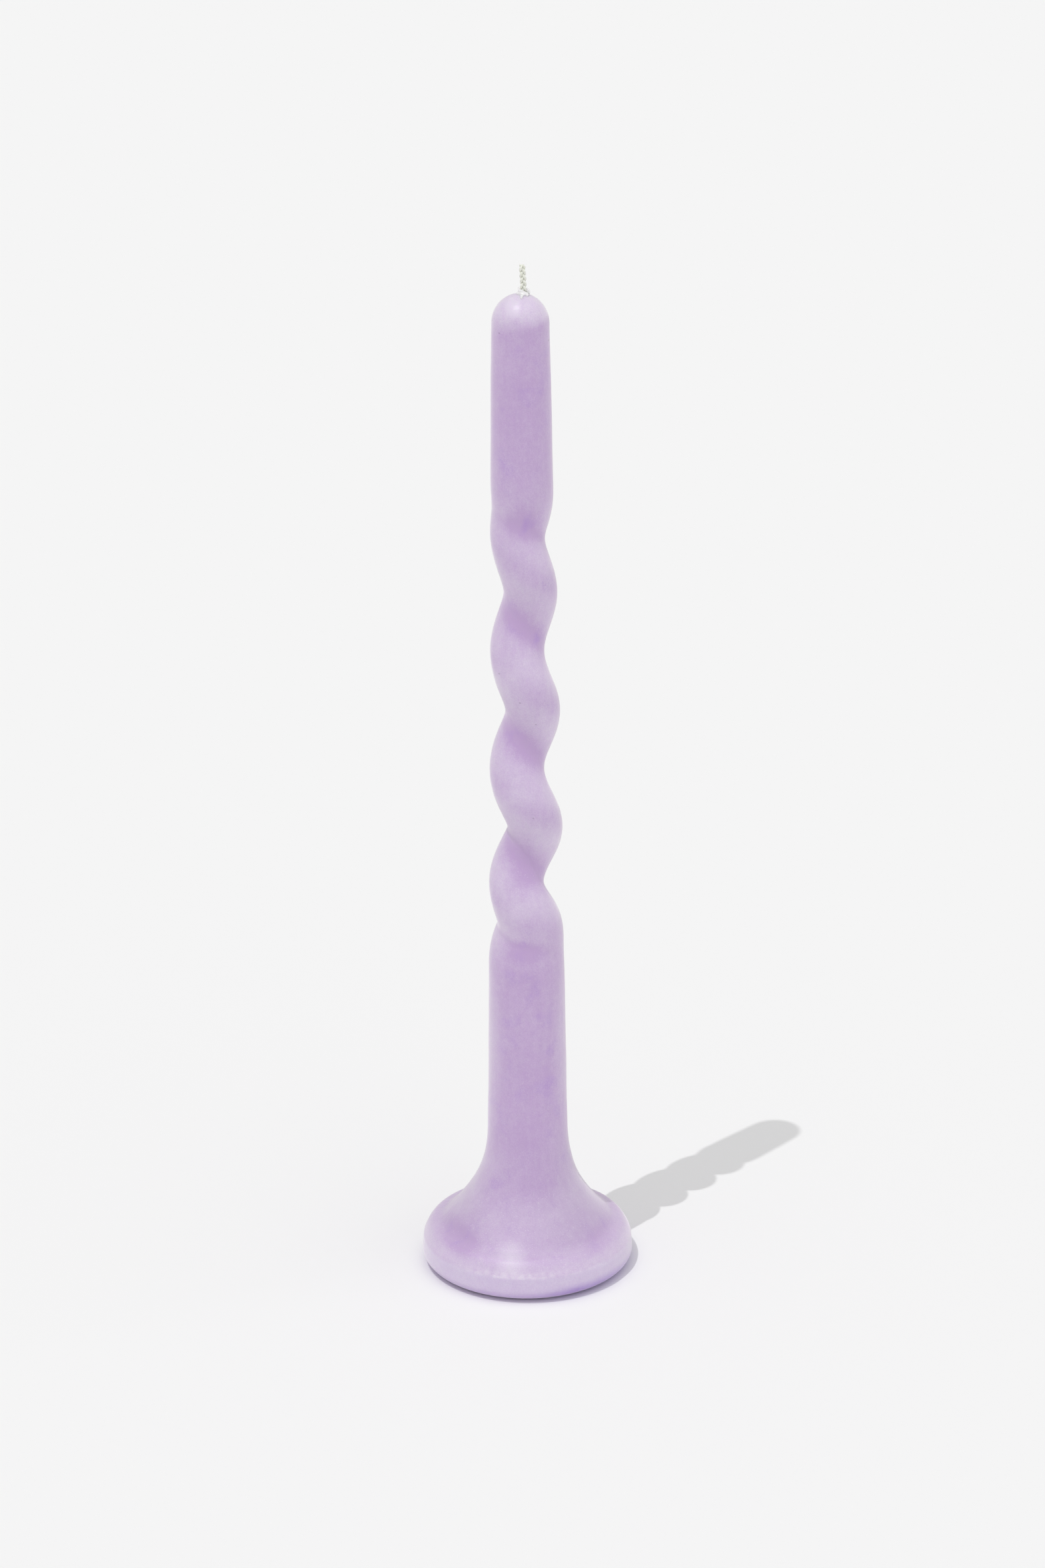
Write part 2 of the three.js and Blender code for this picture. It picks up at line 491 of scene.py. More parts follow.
        # The twist's ridges are paler and its valleys deeper, the valleys partly as painted shade.
        wound = zones.ridge * weights.ridge + zones.valley * weights.valley
        bloom_and_painted_light = bloom_and_painted_light + zones.twist * (wound - zones.lit * weights.lit_less_on_twist)
        bloom_and_painted_light = bloom_and_painted_light + zones.foot * weights.foot + zones.over_crease * weights.over_crease
        bloom_and_painted_light = bloom_and_painted_light + zones.band * weights.band + zones.clouds * weights.clouds
        bloom_and_painted_light = bloom_and_painted_light + zones.mottle * weights.mottle + zones.streaks * weights.streaks * off_foot
        bloom_and_painted_light = bloom_and_painted_light + zones.grain * weights.grain
        for patch in self.patches:
            bloom_and_painted_light = bloom_and_painted_light + patch.on(zones.place) * zones.front * patch.bloom_and_painted_light
        return bloom_and_painted_light

    def tinted(self, zones: "WaxZones", bloom_and_painted_light: Value) -> Value:
        """Works out the wax's colour by laying the tints over each other in order.

        Args:
            zones: The casting's zones and random fields.
            bloom_and_painted_light: How pale the wax is, painted light and shade included.

        Returns:
            The colour.
        """
        tints = [
            # Random violet clouds where the wax is deep, adding to the painted shade in the valleys.
            ((zones.violet_clouds * (self.violet_below - bloom_and_painted_light)).clipped(), self.violet),
            (zones.shade * (self.shade_tint + zones.sides * self.side_tint), self.dusk),
            (zones.band * self.band_tint, self.lilac),
            # Painted shade: violet where the lip turns under towards the table.
            (zones.low_lip_shade * self.low_lip_tint, self.violet),
            # Painted shade on the lip's right, away from the key light.
            (zones.right_lip_shade * self.right_lip_tint, self.grape),
            # Painted highlight along the front of the crease.
            ((zones.crease_highlight * (self.crease_highlight_tint + zones.mottle * self.crease_highlight_mottle)).clipped(), self.frost_and_highlight),
            (zones.specks * self.speck_tint, self.frost_and_highlight),
            (zones.dust * self.dust_tint, self.dirt),
        ]
        tints += [(pit.on(zones.place) * zones.front * self.pit_tint, self.dirt) for pit in self.pits]
        colour = bloom_and_painted_light.shader.blend((bloom_and_painted_light + self.weights.base).clipped(), self.deep, self.pale)
        for share, tint in tints:
            colour = bloom_and_painted_light.shader.blend(share, colour, tint)
        return colour

    def relief(self, zones: "WaxZones") -> Value:
        """Works out the fine relief of the surface.

        Args:
            zones: The casting's zones and random fields.

        Returns:
            The normal.
        """
        shader = zones.place.shader
        fine = zones.grain + zones.specks * self.speck_relief - zones.dust * self.dust_relief
        normal = shader.bump(zones.clouds, self.cloud_depth)
        normal = shader.bump(zones.mottle + zones.streaks * self.streak_relief, self.mottle_depth, normal)
        return shader.bump(fine, self.grain_depth, normal)


class WaxZones:
    """Zones of the casting, each a field that is 1 inside and 0 outside, and its random fields."""

    def __init__(self, shader: Shader, wax: LavenderWax) -> None:
        """Marks out the zones.

        Args:
            shader: The material's nodes.
            wax: The finish, which says where the zones lie.
        """
        place = shader.millimetres()
        x, y, height = shader.parts(place)
        upward = shader.parts(shader.facing())[2]
        self.place = place
        self.clouds = wax.clouds.on(place)
        self.mottle = wax.mottle.on(place)
        self.streaks = wax.streaks.on(place)
        self.grain = wax.grain.on(place)
        self.violet_clouds = wax.violet_clouds.on(place).ramp(*wax.violet_cloud_edge)
        wander = wax.wander.on(place)
        wandering = height + wander

        self.front = y.ramp(1.0, -1.0)
        # Painted light: how far the surface faces up towards the lamps, and how far it faces down towards
        # the lit floor.
        self.lit = upward.ramp(*wax.lit)
        self.under = upward.ramp(*wax.under)
        self.cap = (height - x * wax.cap_tilt + wander * wax.cap_wander).ramp(*wax.cap)
        self.foot = (height + wander * wax.foot_wander).ramp(*wax.foot)
        self.band = wandering.ramp(*wax.band)
        self.over_crease = height.ramp(*wax.over_crease) * (1.0 - self.band)
        # Painted highlight: a line along the front of the crease, where the light catches the edge.
        self.crease_highlight = height.window(wax.crease_highlight) * self.front * x.window(wax.crease_highlight_across)
        self.shade = height.window(wax.shade)
        self.sides = x.ramp(*wax.shade_right) + x.ramp(*wax.shade_left)

        radius = shader.length(shader.moved(place, (0.0, 0.0, 0.0), (1.0, 1.0, 0.0)))
        inward = 1.0 - radius / (wax.stem_at_table - height * wax.stem_taper)
        self.twist = height.window(wax.twist)
        self.ridge = inward.ramp(*wax.ridge)
        # Valley: deep inside the stem, where the wax is deepened, partly as painted shade.
        self.valley = inward.ramp(*wax.valley)

        outside = radius.ramp(*wax.lip_radius)
        # Painted shade where the lip turns under towards the table.
        self.low_lip_shade = outside * wandering.ramp(*wax.low_lip_shade)
        # Painted shade low on the lip's right, the side away from the key light.
        self.right_lip_shade = outside * x.ramp(*wax.right_lip_across) * wandering.ramp(*wax.right_lip_shade)

        # The white specks fade where the surface faces away from the lamps above: painted light on them.
        in_light = wax.specks_in_shade + self.lit * (1.0 - wax.specks_in_shade)
        self.specks = wax.specks.on(place) * in_light * (1.0 - self.cap * wax.specks_less_on_cap)
        self.dust = wax.dust.on(place)


@dataclass(frozen=True)
class WickCotton:
    """Undyed cotton yarn primed with wax: grey-cream and matt, with fine fibres along the strands."""

    pale: Colour = (0.86, 0.88, 0.78, 1.0)
    shade: Colour = (0.76, 0.78, 0.67, 1.0)
    waxed: Colour = (0.90, 0.90, 0.84, 1.0)
    fibres: Noise = Noise(0.09, stretch=(1.0, 1.0, 0.12))
    fibre_edge: Span = (-0.12, 0.1)
    fibre_depth: float = 0.03 * MM
    primer: Noise = Noise(0.8)
    primer_edge: Span = (-0.15, 0.15)
    primer_tint: float = 0.35

    def build(self) -> Material:
        """Makes the finish.

        Returns:
            The material.
        """
        shader = Shader(bpy.data.materials.new("wick_cotton"))
        place = shader.millimetres()
        fibres = self.fibres.on(place)
        primer = self.primer.on(place).ramp(*self.primer_edge)
        cotton = shader.blend(fibres.ramp(*self.fibre_edge), self.shade, self.pale)
        return shader.finish(
            {
                "Base Color": shader.blend(primer * self.primer_tint, cotton, self.waxed),
                "Roughness": 0.78 - primer * 0.25,
                "Normal": shader.bump(fibres, self.fibre_depth),
                "Subsurface Weight": 0.5,
                "Subsurface Radius": (1.0, 1.0, 0.9),
                "Subsurface Scale": 0.0006,
                "Sheen Weight": 0.3,
                "Sheen Roughness": 0.6,
            }
        )


@dataclass(frozen=True)
class ClearWax:
    """Undyed wax: whitish, translucent and a little glossy."""

    body: Colour = (0.84, 0.82, 0.84, 1.0)
    milk: Colour = (0.95, 0.94, 0.95, 1.0)
    milkiness: Noise = Noise(0.7, layers=3.0)
    milk_edge: Span = (-0.15, 0.15)
    ripples: Noise = Noise(0.35)
    ripple_depth: float = 0.04 * MM

    def build(self) -> Material:
        """Makes the finish.

        Returns:
            The material.
        """
        shader = Shader(bpy.data.materials.new("clear_wax"))
        place = shader.millimetres()
        milky = self.milkiness.on(place).ramp(*self.milk_edge)
        ripples = self.ripples.on(place)
        return shader.finish(
            {
                "Base Color": shader.blend(milky, self.body, self.milk),
                "Roughness": 0.2 + ripples * 0.12,
                "IOR": 1.44,
                "Normal": shader.bump(ripples, self.ripple_depth),
                "Subsurface Weight": 0.6,
                "Subsurface Radius": (1.0, 0.95, 1.0),
                "Subsurface Scale": 0.0015,
                "Coat Weight": 0.5,
                "Coat Roughness": 0.06,
            }
        )


def deselect() -> None:
    """Leaves edit mode and deselects every object."""
    if bpy.context.object is not None and bpy.context.object.mode != "OBJECT":
        bpy.ops.object.mode_set(mode="OBJECT")
    bpy.ops.object.select_all(action="DESELECT")


def activate(piece: Object) -> None:
    """Selects one object alone and makes it the active one.

    Args:
        piece: The object.
    """
    deselect()
    piece.select_set(True)
    bpy.context.view_layer.objects.active = piece


def apply_modifiers(piece: Object) -> None:
    """Applies all modifiers of a piece in order.

    Args:
        piece: The piece.
    """
    activate(piece)
    for modifier in list(piece.modifiers):
        bpy.ops.object.modifier_apply(modifier=modifier.name)


def weld_and_face_out() -> None:
    """Welds touching points of the mesh in edit mode, turns its faces outwards and leaves edit mode."""
    bpy.ops.mesh.select_all(action="SELECT")
    bpy.ops.mesh.remove_doubles(threshold=WELD)
    bpy.ops.mesh.normals_make_consistent(inside=False)
    bpy.ops.object.mode_set(mode="OBJECT")


def roughen(piece: Object, name: str, size: float, depth: float, group: str = "") -> None:
    """Moves a piece's surface in and out by a soft random field.

    Args:
        piece: The piece.
        name: Name of the field.
        size: Size of its lumps in millimetres.
        depth: How far it reaches from its lowest to its highest point, in millimetres.
        group: Vertex group that holds it back, if there is one.
    """
    lumps = bpy.data.textures.new(name, "CLOUDS")
    lumps.noise_scale = size * MM
    lumps.noise_depth = 1
    uneven = piece.modifiers.new(name, "DISPLACE")
    uneven.texture = lumps
    uneven.texture_coords = "LOCAL"
    uneven.vertex_group = group
    uneven.mid_level = 0.5
    uneven.strength = depth * MM
    apply_modifiers(piece)


def drawn_line(points: Sequence[Vector], name: str) -> Object:
    """Draws a line of edges point by point, and leaves it in edit mode.

    Args:
        points: The points in millimetres.
        name: The object's name.

    Returns:
        The line.
    """
    deselect()
    bpy.ops.mesh.primitive_plane_add(size=MM, location=(0.0, 0.0, 0.0))
    line = bpy.context.object
    line.name = name
    bpy.ops.object.mode_set(mode="EDIT")
    bpy.ops.mesh.select_all(action="SELECT")
    bpy.ops.mesh.merge(type="CENTER")
    bpy.ops.transform.translate(value=points[0] * MM)
    for here, there in zip(points, points[1:]):
        bpy.ops.mesh.extrude_region_move(TRANSFORM_OT_translate={"value": (there - here) * MM})
    return line


def drawn_cord(points: Sequence[Vector], radii: Sequence[float], name: str) -> Object:
    """Makes a round cord along a line, with closed ends.

    Args:
        points: The line's points in millimetres.
        radii: The cord's radius at each point, in millimetres.
        name: The object's name.

    Returns:
        The cord as a mesh.
    """
    cord = drawn_line(points, name)
    bpy.ops.object.mode_set(mode="OBJECT")
    bpy.ops.object.convert(target="CURVE")
    cord = bpy.context.object
    widest = max(radii)
    for point, radius in zip(cord.data.splines[0].points, radii):
        point.radius = radius / widest
    cord.data.bevel_depth = widest * MM
    cord.data.bevel_resolution = 3
    cord.data.use_fill_caps = True
    bpy.ops.object.convert(target="MESH")
    return bpy.context.object


def joined(pieces: Sequence[Object], name: str) -> Object:
    """Joins pieces into one mesh at the origin.

    Args:
        pieces: The pieces.
        name: The joined object's name.

    Returns:
        The joined object.
    """
    deselect()
    for piece in pieces:
        piece.select_set(True)
    bpy.context.view_layer.objects.active = pieces[0]
    bpy.ops.object.join()
    whole = bpy.context.object
    whole.name = name
    bpy.ops.object.transform_apply(location=True, rotation=True, scale=True)
    bpy.ops.object.mode_set(mode="EDIT")
    weld_and_face_out()
    return whole


def dress(piece: Object, material: Material, node: str) -> Object:
    """Gives a finished piece its material and sets it in the place of a CAD node.

    Args:
        piece: The piece.
        material: Its material.
        node: The CAD node that it replaces.

    Returns:
        The piece.
    """
    piece.data.materials.clear()
    piece.data.materials.append(material)
    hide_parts(node)
    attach(piece, BODY)
    return piece


@dataclass(frozen=True)
class WoundLine:
    """Middle line of the wax: straight in the stems, wound left-handed round the axis between them."""

    start: float = 89.7
    end: float = 233.7
    pitch: float = 34.1
    start_angle: float = math.radians(97.0)
    ease_in: float = 30.0
    ease_out: float = 22.6
    offset_at_start: float = 3.1
    offset_at_end: float = 1.35
    pinch_at_start: float = 0.275
    pinch_at_end: float = 0.153
    sway: tuple[tuple[float, float], ...] = (
        (0.0, -0.2),
        (50.0, 0.15),
        (150.0, 0.22),
        (200.0, 0.22),
        (228.0, -0.15),
    )

    def share(self, height: float) -> float:
        """Returns how much of the winding is present at a height in millimetres."""
        return smoother((height - self.start) / self.ease_in) * smoother((self.end - height) / self.ease_out)

    def along(self, height: float) -> float:
        """Returns the share of the wound stretch that lies below a height."""
        return (height - self.start) / (self.end - self.start)

    def pinch(self, height: float) -> float:
        """Returns the share of the stem's radius that the winding takes off at a height."""
        return mix(self.pinch_at_start, self.pinch_at_end, self.along(height)) * self.share(height)

    def point(self, height: float) -> Vector:
        """Works out where the line runs.

        Args:
            height: A height in millimetres.

        Returns:
            The line's point there, in millimetres.
        """
        offset = mix(self.offset_at_start, self.offset_at_end, self.along(height)) * self.share(height)
        angle = self.start_angle - 2.0 * math.pi * (height - self.start) / self.pitch
        return Vector((self.aside(height) + offset * math.cos(angle), offset * math.sin(angle), height))

    def aside(self, height: float) -> float:
        """Works out how far the slightly bowed casting stands to the right of the axis.

        Args:
            height: A height in millimetres.

        Returns:
            The distance there, in millimetres.
        """
        place = self.sway[0][1]
        for (low, start), (high, end) in zip(self.sway, self.sway[1:]):
            place += (end - start) * smoother((height - low) / (high - low))
        return place

    def lengths(self, heights: Sequence[float]) -> list[float]:
        """Measures the line.

        Args:
            heights: Heights in millimetres, from the lowest up.

        Returns:
            The line's length from the first height up to each of them.
        """
        lengths = [0.0]
        for below, above in zip(heights, heights[1:]):
            lengths.append(lengths[-1] + (self.point(above) - self.point(below)).length)
        return lengths


@dataclass(frozen=True)
class Bend:
    """How far a bent stretch of the outline holds the direction at each end, and its number of steps."""

    at_start: float
    at_end: float
    steps: int


@dataclass
class WaxCasting:
    """The wax: foot, lower stem, wound stretch, upper stem and crown in one casting, in millimetres."""

    body_height: float
    foot_radius: float
    line: WoundLine = WoundLine()
    crown_height: float = 8.0
    shoulder_radius: float = 7.8
    contact_radius: float = 25.0
    band_lean: float = -0.3
    lip_height: float = 4.2
    crease_height: float = 8.25
    crease_rounding: float = 1.5
    hip_slope: float = math.radians(64.5)
    flare_start: tuple[float, float] = (23.1, 14.1)
    flare_slope: float = math.radians(48.0)
    flare_end: tuple[float, float] = (11.3, 42.4)
    sink_radius: float = 5.0
    sink_depth: float = 0.9
    sink_steps: int = 6
    underside_steps: int = 12
    lip_bend: Bend = Bend(0.26, 0.4, 14)
    band_bend: Bend = Bend(0.33, 0.33, 4)
    crease_bend: Bend = Bend(0.45, 0.45, 10)
    hip_bend: Bend = Bend(0.6, 0.46, 24)
    flare_bend: Bend = Bend(0.465, 0.315, 34)
    crown_steps: int = 18
    columns: int = 128
    ring_gap: float = 0.9
    guide_gap: float = 0.5
    spare_guide_steps: int = 8
    unevenness: float = 0.16
    lump_size: float = 17.0
    level_up_to: float = 1.5
    level_fade: float = 8.0

    @property
    def shoulder_height(self) -> float:
        """Height at which the stem ends and the crown begins."""
        return self.body_height - self.crown_height

    def stem_radius(self, height: float) -> float:
        """Returns the stem's radius at a height, before the winding pinches it."""
        share = (height - self.flare_end[1]) / (self.shoulder_height - self.flare_end[1])
        return mix(self.flare_end[0], self.shoulder_radius, share)

    def leaning_in(self, slope: float) -> Vector:
        """Returns the direction of a line in the outline that leans in towards the axis going up."""
        return Vector((-math.cos(slope), 0.0, math.sin(slope)))

    def bend(
        self, start: Vector, leaving: Vector, end: Vector, arriving: Vector, shape: Bend
    ) -> list[Vector]:
        """Samples a stretch of the outline that leaves and arrives along given directions.

        Args:
            start: Its start, which isn't among the points.
            leaving: Direction in which it leaves.
            end: Its end.
            arriving: Direction in which it arrives.
            shape: How it bends, as shares of the distance between its ends.

        Returns:
            The points after the start.
        """
        reach = (end - start).length
        first = start + leaving.normalized() * shape.at_start * reach
        last = end - arriving.normalized() * shape.at_end * reach
        return geometry.interpolate_bezier(start, first, last, end, shape.steps + 1)[1:]

    def underside_outline(self) -> list[Vector]:
        """Draws the underside, from its middle to where the lip leaves the table.

        Returns:
            The outline's points.
        """
        hollow = [
            Vector((self.sink_radius * share, 0.0, self.sink_depth * (1.0 - smoother(share))))
            for share in spread(0.0, 1.0, self.sink_steps)
        ]
        radii = spread(self.sink_radius, self.contact_radius, self.underside_steps)
        return hollow + [Vector((radius, 0.0, 0.0)) for radius in radii[1:]]

    def foot_outline(self) -> list[Vector]:
        """Draws the foot, from the lip over the band, the crease and the hip to the end of the flare.

        Returns:
            The outline's points.
        """
        contact = Vector((self.contact_radius, 0.0, 0.0))
        lip = Vector((self.foot_radius - self.band_lean, 0.0, self.lip_height))
        crease = Vector((self.foot_radius, 0.0, self.crease_height))
        join = Vector((self.flare_start[0], 0.0, self.flare_start[1]))
        stem = Vector((self.flare_end[0], 0.0, self.flare_end[1]))
        taper = Vector((self.stem_radius(self.flare_end[1] + 1.0) - self.flare_end[0], 0.0, 1.0))
        band = (crease - lip).normalized()
        over_crease, through_join = self.leaning_in(self.hip_slope), self.leaning_in(self.flare_slope)
        band_end = crease - band * self.crease_rounding
        hip_start = crease + over_crease * self.crease_rounding
        outline = self.bend(contact, Vector((1.0, 0.0, 0.0)), lip, band, self.lip_bend)
        outline += self.bend(lip, band, band_end, band, self.band_bend)
        outline += self.bend(band_end, band, hip_start, over_crease, self.crease_bend)
        outline += self.bend(hip_start, over_crease, join, through_join, self.hip_bend)
        return outline + self.bend(join, through_join, stem, taper, self.flare_bend)

    def stem_outline(self) -> list[Vector]:
        """Draws the stem, from the end of the flare to the shoulder.

        Returns:
            The outline's points.
        """
        count = round((self.shoulder_height - self.flare_end[1]) / self.ring_gap)
        heights = spread(self.flare_end[1], self.shoulder_height, count)[1:]
        radii = [self.stem_radius(height) * (1.0 - self.line.pinch(height)) for height in heights]
        return [Vector((radius, 0.0, height)) for radius, height in zip(radii, heights)]

    def crown_outline(self) -> list[Vector]:
        """Draws the crown, from the shoulder to its middle.

        Returns:
            The outline's points.
        """
        dome = [
            Vector((self.shoulder_radius * math.cos(turn), 0.0, self.crown_height * math.sin(turn)))
            for turn in spread(0.0, math.pi / 2.0, self.crown_steps)[1:-1]
        ]
        shoulder = Vector((0.0, 0.0, self.shoulder_height))
        return [shoulder + point for point in dome] + [Vector((0.0, 0.0, self.body_height))]

    def guide_heights(self) -> list[float]:
        """Returns the heights of the guide's points, which run a little past the crown."""
        count = math.ceil(self.body_height / self.guide_gap) + self.spare_guide_steps
        return [index * self.guide_gap for index in range(count + 1)]

    def straightened_outline(self) -> list[Vector]:
        """Draws the whole outline as it is before winding, its heights measured along the wax's line.

        Returns:
            The outline's points.
        """
        lengths = self.line.lengths(self.guide_heights())

        def measured(height: float) -> float:
            """Returns the length of the wax's line up to a height."""
            step = min(int(height / self.guide_gap), len(lengths) - 2)
            return mix(lengths[step], lengths[step + 1], height / self.guide_gap - step)

        outline = self.underside_outline() + self.foot_outline() + self.stem_outline() + self.crown_outline()
        return [Vector((point.x, 0.0, measured(point.z))) for point in outline]

    def turned(self) -> Object:
        """Draws the outline point by point and turns it round the axis.

        Returns:
            The straightened casting.
        """
        piece = drawn_line(self.straightened_outline(), "lavender_casting")
        bpy.ops.mesh.select_all(action="SELECT")
        full = 2.0 * math.pi
        bpy.ops.mesh.spin(steps=self.columns, angle=full, center=(0.0, 0.0, 0.0), axis=(0.0, 0.0, 1.0))
        weld_and_face_out()
        return piece

    def wind(self, piece: Object) -> None:
        """Winds the straightened casting along the wax's line.

        Args:
            piece: The straightened casting.
        """
        drawn_line([self.line.point(height) for height in self.guide_heights()], "winding_guide")
        bpy.ops.object.mode_set(mode="OBJECT")
        bpy.ops.object.convert(target="CURVE")
        guide = bpy.context.object
        winding = piece.modifiers.new("winding", "CURVE")
        winding.object = guide
        winding.deform_axis = "POS_Z"
        apply_modifiers(piece)
        bpy.data.objects.remove(guide, do_unlink=True)

    def settle(self, piece: Object) -> None:
        """Gives the wax the slight unevenness of a poured casting, above the levelled underside.

        Args:
            piece: The wound casting.
        """
        level = piece.vertex_groups.new(name="above_table")
        for vertex in piece.data.vertices:
            share = smoother((vertex.co.z / MM - self.level_up_to) / self.level_fade)
            level.add([vertex.index], share, "REPLACE")
        roughen(piece, "poured_lumps", self.lump_size, 2.0 * self.unevenness, level.name)
        piece.vertex_groups.clear()

    def build(self) -> Object:
        """Makes the casting.

        Returns:
            The finished casting, dressed and riding on the candle.
        """
        piece = self.turned()
        self.wind(piece)
        self.settle(piece)
        activate(piece)
        bpy.ops.object.shade_smooth()
        return dress(piece, LavenderWax().build(), "wax_body")


@dataclass
class PlaitedWick:
    """The wick: a plait of yarns where it shows, and a plain core through the wax, in millimetres."""

    crown: float
    tip: float
    radius: float = 0.9
    trim: float = 0.5
    drift: float = 0.7
    lean: float = 0.35
    yarns: int = 3
    yarn_radius: float = 0.36
    yarn_step: float = 0.12
    plait_pitch: float = 4.6
    plait_depth: float = 0.62
    end_share: float = 0.6
    end_length: float = 0.8
    lower_plait: Span = (0.1, 5.0)
    plait_below_crown: float = 3.0
    core_share: float = 0.9
    core_above_trim: float = 2.0
    core_below_crown: float = 1.0
    core_steps: int = 40

    def route(self, height: float) -> Vector:
        """Works out where the wick runs.

        Args:
            height: A height in millimetres.

        Returns:
            The wick's middle there, in millimetres.
        """
        if height <= self.crown:
            return Vector((self.drift * (height - self.trim) / (self.crown - self.trim), 0.0, height))
        share = (height - self.crown) / (self.tip - self.crown)
        return Vector((self.drift - self.lean * share * share, 0.0, height))

    def yarn(self, index: int, low: float, high: float) -> Object:
        """Makes one yarn of the plait.

        Args:
            index: Which yarn it is.
            low: Height at which it starts.
            high: Height at which it ends.

        Returns:
            The yarn as a mesh.
        """
        heights = spread(low, high, round((high - low) / self.yarn_step))
        swing = self.radius - self.yarn_radius
        points = []
        for height in heights:
            turn = 2.0 * math.pi * (height / self.plait_pitch + index / self.yarns)
            aside = Vector((math.sin(turn), self.plait_depth * math.sin(2.0 * turn), 0.0))
            points.append(self.route(height) + aside * swing)
        ends = [smoother((high - height) / self.end_length) for height in heights]
        radii = [self.yarn_radius * mix(self.end_share, 1.0, share) for share in ends]
        return drawn_cord(points, radii, f"yarn_{index}")

    def core(self) -> Object:
        """Makes the plain cord that runs through the wax.

        Returns:
            The cord as a mesh.
        """
        low, high = self.trim + self.core_above_trim, self.crown - self.core_below_crown
        points = [self.route(height) for height in spread(low, high, self.core_steps)]
        return drawn_cord(points, [self.radius * self.core_share] * len(points), "wick_core")

    def build(self) -> Object:
        """Makes the wick.

        Returns:
            The finished wick, dressed and riding on the candle.
        """
        lower = tuple(self.trim + height for height in self.lower_plait)
        upper = (self.crown - self.plait_below_crown, self.tip)
        pieces = [self.core()]
        for low, high in (lower, upper):
            pieces += [self.yarn(index, low, high) for index in range(self.yarns)]
        wick = joined(pieces, "plaited_wick")
        bpy.ops.object.shade_smooth_by_angle(angle=math.radians(40.0))
        return dress(wick, WickCotton().build(), "wick")


@dataclass
class ClearWaxAtWick:
    """Undyed wax at the wick's foot: lumps that cling to the cotton, a run and a curl, in millimetres."""

    crown: float
    crown_radius: float = 7.8
    crown_depth: float = 8.0
    drift: float = 0.7
    grain: float = 0.09
    stiffness: float = 0.35
    lump_reach: float = 1.35
    lump_weld: float = 0.001
    fold_size: float = 0.7
    fold_depth: float = 0.3
    curl_start: Triple = (0.7, -0.1, 1.35)
    curl_end: Span = (1.15, -0.5)
    curl_bow: Triple = (0.7, 0.0, 0.4)
    curl_points: int = 20
    curl_radius: float = 0.25
    curl_ends: float = 0.8
    curl_swell: float = 0.35
    spur: tuple[Lump, ...] = (
        (-1.05, -0.15, 0.9, 0.42),
        (-1.2, -0.15, 1.3, 0.34),
        (-1.3, -0.15, 1.65, 0.25),
    )
    run: tuple[Lump, ...] = (
        (-0.3, -1.4, 0.1, 0.55),
        (-0.45, -1.9, 0.08, 0.5),
        (-0.5, -2.4, 0.04, 0.44),
        (-0.52, -2.8, 0.0, 0.36),
    )
    toes: tuple[Lump, ...] = ((-1.5, -0.3, 0.1, 0.5), (0.9, -1.2, 0.1, 0.5))

    def surface(self, x: float, y: float) -> float:
        """Returns the crown's height at a place in plan."""
        share = min(1.0, math.hypot(x, y) / self.crown_radius)
        return self.crown - self.crown_depth * (1.0 - math.sqrt(1.0 - share * share))

    def beside_wick(self, turn: float, away: float, lift: float, radius: float) -> Lump:
        """Returns a lump at an angle round the wick, away from its middle and lifted off the crown."""
        return (self.drift + away * math.cos(turn), away * math.sin(turn), lift, radius)

    def lumps(self) -> list[Lump]:
        """Places the lumps: a skirt and a sleeve round the cotton, a spur on its left and a run in front.

        Returns:
            Each lump's x and y in plan, height above the crown and radius.
        """
        skirt = [
            self.beside_wick(turn, away=0.95, lift=0.1 + 0.12 * math.sin(3.0 * turn), radius=0.7)
            for turn in spread(0.0, 2.0 * math.pi, 12)[:-1]
        ]
        sleeve = [
            self.beside_wick(turn, away=0.78, lift=0.75 + 0.2 * math.sin(2.0 * turn), radius=0.4)
            for turn in spread(0.45 * math.pi, 1.65 * math.pi, 7)
        ]
        placed = self.spur + self.run + self.toes
        return skirt + sleeve + [(self.drift + x, y, lift, radius) for x, y, lift, radius in placed]

    def clinging(self) -> Object:
        """Melts the lumps together.

        Returns:
            The lumps as one mesh.
        """
        deselect()
        bpy.ops.object.metaball_add(type="BALL", radius=1.0, location=(0.0, 0.0, 0.0))
        soft = bpy.context.object
        soft.data.elements.clear()
        soft.data.resolution = self.grain
        soft.data.render_resolution = self.grain
        soft.data.threshold = self.stiffness
        for x, y, lift, radius in self.lumps():
            ball = soft.data.elements.new(type="BALL")
            ball.co = (x, y, self.surface(x, y) + lift)
            ball.radius = radius * self.lump_reach
        activate(soft)
        bpy.ops.object.convert(target="MESH")
        lumps = bpy.context.object
        bpy.ops.object.mode_set(mode="EDIT")
        bpy.ops.mesh.select_all(action="SELECT")
        bpy.ops.mesh.remove_doubles(threshold=self.lump_weld)
        bpy.ops.mesh.vertices_smooth(factor=0.5, repeat=3)
        bpy.ops.transform.resize(value=(MM, MM, MM), center_override=(0.0, 0.0, 0.0))
        bpy.ops.object.mode_set(mode="OBJECT")
        roughen(lumps, "cooling_folds", self.fold_size, self.fold_depth)
        return lumps

    def curl(self) -> Object:
        """Makes the curl of wax that bows out on the wick's right and comes back to the crown.

        Returns:
            The curl as a mesh.
        """
        start = Vector((self.drift, 0.0, self.crown)) + Vector(self.curl_start)
        end_x, end_y = self.drift + self.curl_end[0], self.curl_end[1]
        end = Vector((end_x, end_y, self.surface(end_x, end_y)))
        bow = Vector(self.curl_bow)
        points = geometry.interpolate_bezier(start, start + bow, end + bow, end, self.curl_points)
        shares = spread(0.0, 1.0, self.curl_points - 1)
        fullness = [self.curl_ends + self.curl_swell * math.sin(math.pi * share) for share in shares]
        return drawn_cord(points, [self.curl_radius * full for full in fullness], "wax_curl")

